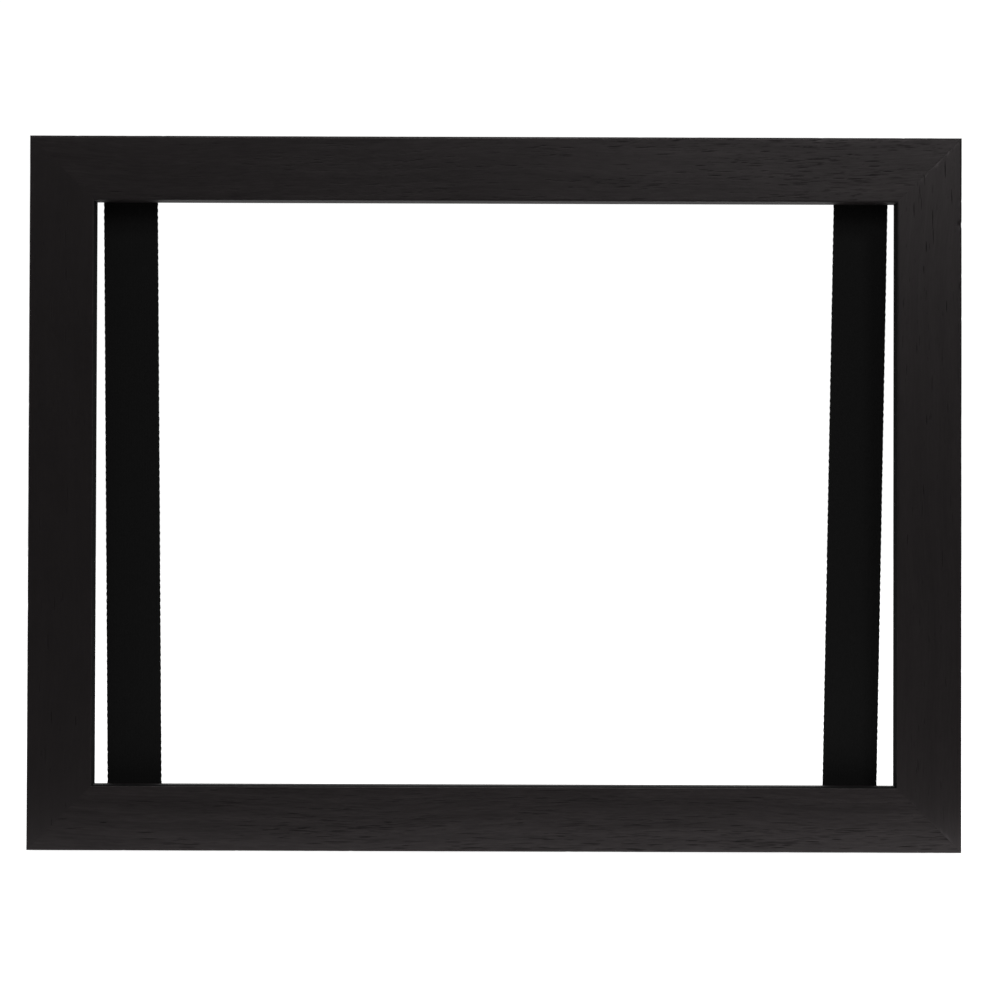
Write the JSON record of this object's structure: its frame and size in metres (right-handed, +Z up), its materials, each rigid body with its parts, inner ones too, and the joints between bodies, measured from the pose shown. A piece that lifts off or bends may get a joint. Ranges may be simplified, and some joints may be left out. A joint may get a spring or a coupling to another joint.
{
  "type": "floating frame",
  "caption": "Open black-stained wooden floating frame with mitred corners; webbing straps behind the opening carry a flat panel, with swinging D-ring hangers on the back.",
  "frame": {"origin": "middle of the bottom rail's underside, halfway through the frame's depth", "axes": "+X to the right seen from the front, +Y towards the wall behind, +Z up; the front face looks along -Y"},
  "size_m": [0.33, 0.0256, 0.2527],
  "materials": {
    "black_stained_wood": "open-pored hardwood, black stain, dull satin",
    "black_webbing": "woven black webbing, matt",
    "staple_wire": "galvanised flat wire",
    "v_nail_steel": "bright hardened strip, slightly dulled",
    "nickel_plated_steel": "nickel plate, satin",
    "zinc_plated_steel": "clear zinc plate",
    "bumper_rubber": "matt black rubber"
  },
  "bodies": {
    "frame": {"rail_top": "black_stained_wood", "rail_bottom": "black_stained_wood", "stile_left": "black_stained_wood", "stile_right": "black_stained_wood", "strap_left": "black_webbing", "strap_right": "black_webbing", "strap_staples_top_left": "staple_wire", "strap_staples_top_right": "staple_wire", "strap_staples_bottom_left": "staple_wire", "strap_staples_bottom_right": "staple_wire", "v_nails_top_left": "v_nail_steel", "v_nails_top_right": "v_nail_steel", "v_nails_bottom_left": "v_nail_steel", "v_nails_bottom_right": "v_nail_steel", "hanger_plate_left": "nickel_plated_steel", "hanger_plate_right": "nickel_plated_steel", "hanger_screw_left": "zinc_plated_steel", "hanger_screw_right": "zinc_plated_steel", "wall_bumper_left": "bumper_rubber", "wall_bumper_right": "bumper_rubber"},
    "ring_left": {"hanger_ring_left": "nickel_plated_steel"},
    "ring_right": {"hanger_ring_right": "nickel_plated_steel"}
  },
  "joints": [
    {"name": "ring_left_swing", "type": "hinge", "parent": "frame", "child": "ring_left", "pos_m": [-0.1576, 0.01278, 0.1927], "axis": [-1, 0, 0], "range_deg": [-4, 163]},
    {"name": "ring_right_swing", "type": "hinge", "parent": "frame", "child": "ring_right", "pos_m": [0.1576, 0.01278, 0.1927], "axis": [-1, 0, 0], "range_deg": [-4, 163]}
  ]
}
